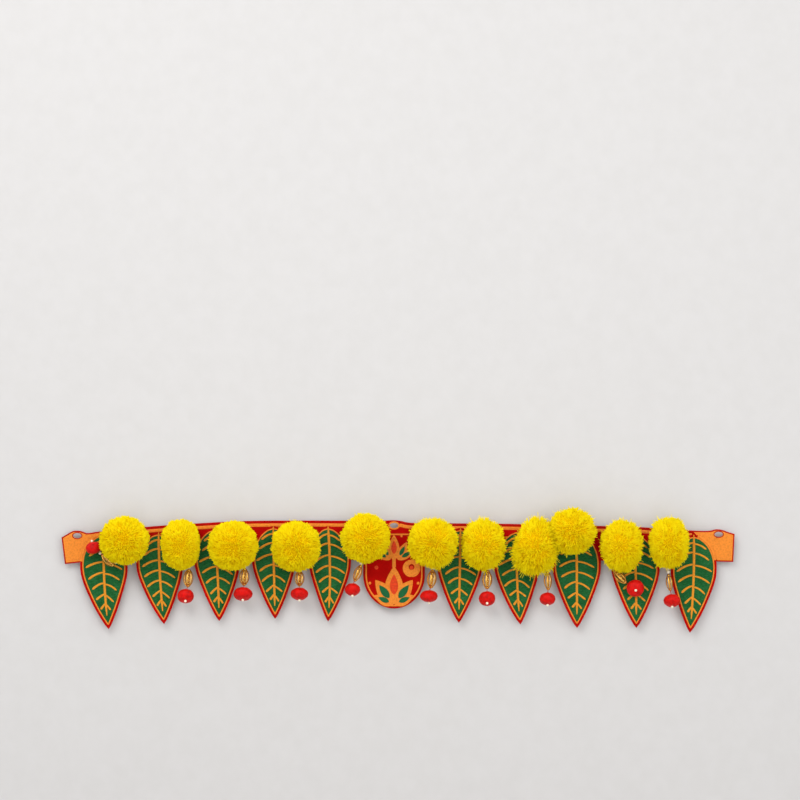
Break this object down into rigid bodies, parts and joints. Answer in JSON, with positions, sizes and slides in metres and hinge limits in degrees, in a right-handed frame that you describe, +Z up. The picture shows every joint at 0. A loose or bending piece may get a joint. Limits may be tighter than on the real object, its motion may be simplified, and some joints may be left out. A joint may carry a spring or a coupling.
{
  "type": "toran door hanging",
  "caption": "Embroidered cloth door hanging: leaf panels and a centre medallion on an arched band, with yarn pompoms and bead drops between the leaves.",
  "frame": {"origin": "on the band's top edge above the middle eyelet, at the cloth's front face, where the hanging is held up", "axes": "+X along the band to the viewer's right, +Y from the front to the wall behind, +Z up"},
  "size_m": [0.8414, 0.0539, 0.1563],
  "materials": {
    "band_cloth": "matte",
    "leaf_cloth": "matte",
    "medallion_cloth": "matte",
    "pompom_yarn": "matte",
    "gold_bead": "polished",
    "red_bead": "satin",
    "pearl": "pearl"
  },
  "bodies": {
    "root": {"band": "band_cloth", "leaf_01": "leaf_cloth", "leaf_02": "leaf_cloth", "leaf_03": "leaf_cloth", "leaf_04": "leaf_cloth", "leaf_05": "leaf_cloth", "leaf_06": "leaf_cloth", "leaf_07": "leaf_cloth", "leaf_08": "leaf_cloth", "leaf_09": "leaf_cloth", "leaf_10": "leaf_cloth", "medallion": "medallion_cloth", "pompom_01": "pompom_yarn", "pompom_02": "pompom_yarn", "pompom_03": "pompom_yarn", "pompom_04": "pompom_yarn", "pompom_05": "pompom_yarn", "pompom_06": "pompom_yarn", "pompom_07": "pompom_yarn", "pompom_08": "pompom_yarn", "pompom_09": "pompom_yarn", "pompom_10": "pompom_yarn", "pearls_01": "pearl", "pearls_02": "pearl", "pearls_03": "pearl", "pearls_04": "pearl", "pearls_05": "pearl", "pearls_06": "pearl", "pearls_07": "pearl", "pearls_08": "pearl", "pearls_09": "pearl", "pearls_10": "pearl", "cage_01": "gold_bead", "cage_02": "gold_bead", "cage_03": "gold_bead", "cage_04": "gold_bead", "cage_05": "gold_bead", "cage_06": "gold_bead", "cage_07": "gold_bead", "cage_08": "gold_bead", "cage_09": "gold_bead", "cage_10": "gold_bead", "red_bead_01": "red_bead", "red_bead_02": "red_bead", "red_bead_03": "red_bead", "red_bead_04": "red_bead", "red_bead_05": "red_bead", "red_bead_06": "red_bead", "red_bead_07": "red_bead", "red_bead_08": "red_bead", "red_bead_09": "red_bead", "red_bead_10": "red_bead"}
  },
  "joints": []
}
